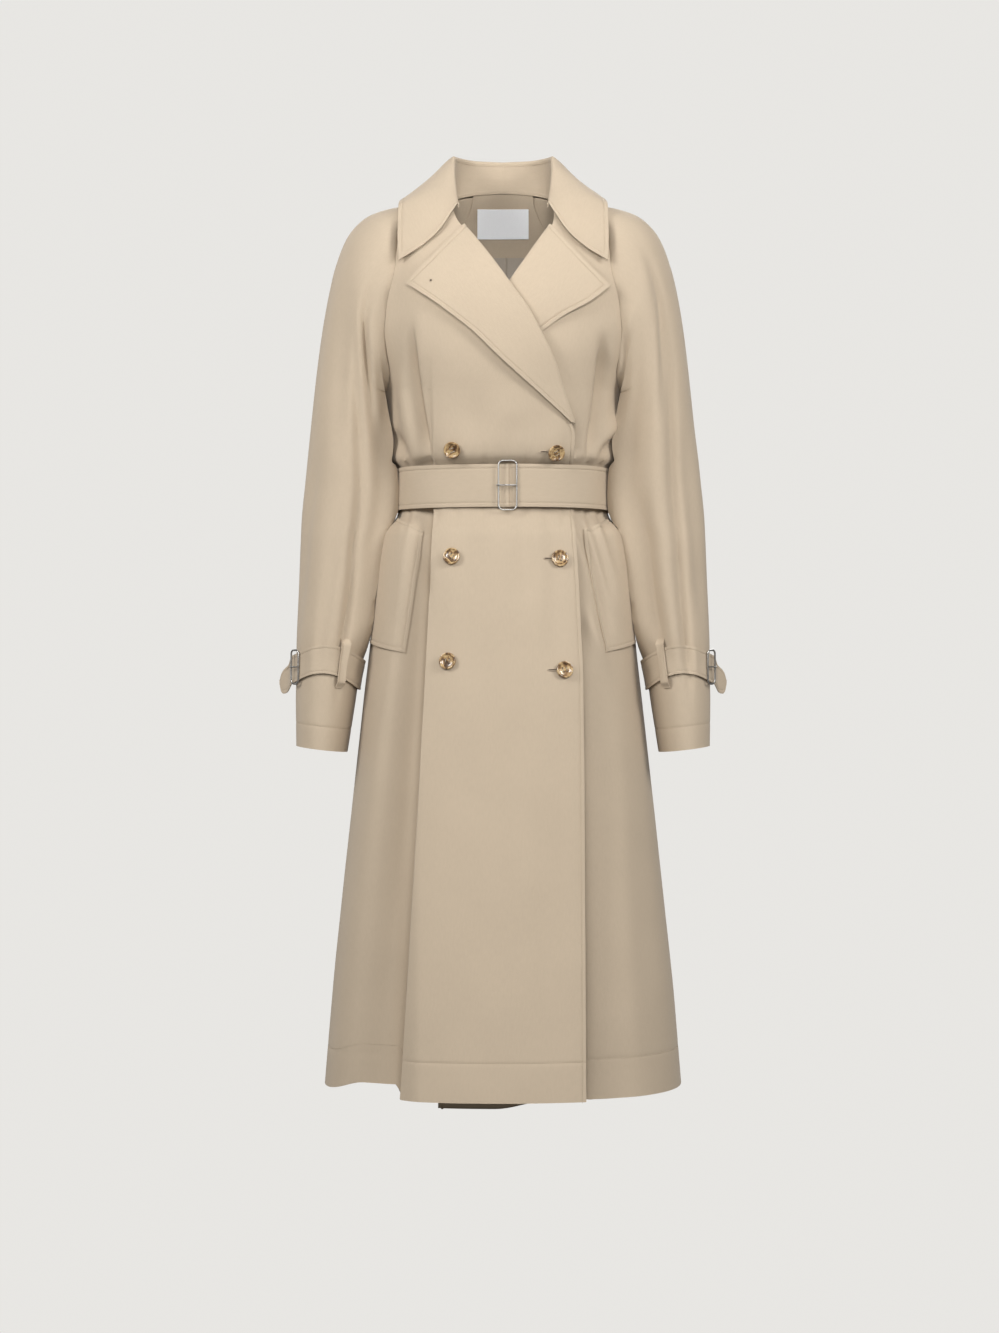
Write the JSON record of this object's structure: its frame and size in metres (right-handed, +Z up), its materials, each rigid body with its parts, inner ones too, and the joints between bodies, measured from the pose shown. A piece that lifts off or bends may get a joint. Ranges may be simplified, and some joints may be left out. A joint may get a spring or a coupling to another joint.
{
  "type": "trench coat",
  "caption": "Belted double-breasted raglan trench coat in sand cotton gabardine, worn shape, hollow, with turned lapels.",
  "frame": {"origin": "middle of the neck at the height of the neck seam, where the wearer's shoulders carry the coat", "axes": "+Z up, the front faces -Y, +X is the viewer's right of the front view (the wearer's left)"},
  "size_m": [0.5892, 0.3843, 1.207],
  "materials": {
    "gabardine": "sand cotton gabardine, fine steep twill, matt with a faint sheen",
    "lining": "grey-taupe satin lining",
    "label": "bare white woven tab",
    "steel": "satin nickel",
    "horn": "mottled brown horn look, semi-gloss"
  },
  "bodies": {
    "root": {"front_right": "gabardine", "front_left": "gabardine", "back": "gabardine", "sleeve_right": "gabardine", "sleeve_left": "gabardine", "lapel_right": "gabardine", "lapel_left": "gabardine", "collar_stand": "gabardine", "collar_fall": "gabardine", "back_facing": "gabardine", "belt": "gabardine", "belt_loop_right": "gabardine", "belt_loop_left": "gabardine", "pocket_welt_right": "gabardine", "pocket_welt_left": "gabardine", "cuff_strap_right": "gabardine", "cuff_strap_left": "gabardine", "cuff_loop_right": "gabardine", "cuff_loop_left": "gabardine", "lining": "lining", "label": "label", "belt_buckle": "steel", "belt_prong": "steel", "cuff_buckle_right": "steel", "cuff_buckle_left": "steel", "button_1": "horn", "button_2": "horn", "button_3": "horn", "button_4": "horn", "button_5": "horn", "button_6": "horn"}
  },
  "joints": []
}
